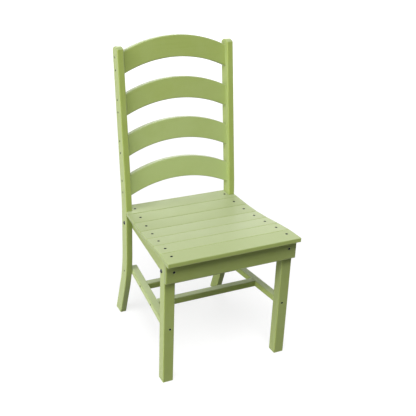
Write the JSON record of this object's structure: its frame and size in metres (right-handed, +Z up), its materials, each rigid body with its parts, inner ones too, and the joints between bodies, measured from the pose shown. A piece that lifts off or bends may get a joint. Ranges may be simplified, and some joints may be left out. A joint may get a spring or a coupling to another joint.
{
  "type": "ladderback chair",
  "caption": "Armless side chair of flat board stock with an arched-slat ladder back, a dished seat of cross boards, square front legs, swept rear legs and low box stretchers.",
  "frame": {"origin": "on the floor, at the middle of the bounding box's bottom", "axes": "+X from left to right as seen by someone facing the chair's front, +Y from the seat's front edge to the back, +Z up"},
  "size_m": [0.4628, 0.5314, 1.0119],
  "materials": {
    "board": "satin, lightly textured, soft machined edges",
    "fastener": "dull, darkened"
  },
  "bodies": {
    "root": {"back_post_left": "board", "back_post_right": "board", "back_slat_1": "board", "back_slat_2": "board", "back_slat_3": "board", "back_slat_4": "board", "seat_board_1": "board", "seat_board_2": "board", "seat_board_3": "board", "seat_board_4": "board", "seat_board_5": "board", "seat_board_6": "board", "seat_board_7": "board", "seat_rail_left": "board", "front_leg_left": "board", "side_stretcher_left": "board", "seat_rail_right": "board", "front_leg_right": "board", "side_stretcher_right": "board", "front_apron": "board", "cross_stretcher_front": "board", "cross_stretcher_back": "board", "slat_screws": "fastener", "seat_screws": "fastener", "post_screws": "fastener", "cross_screws": "fastener", "leg_screws": "fastener", "rail_bolts": "fastener", "apron_bolts": "fastener"}
  },
  "joints": []
}
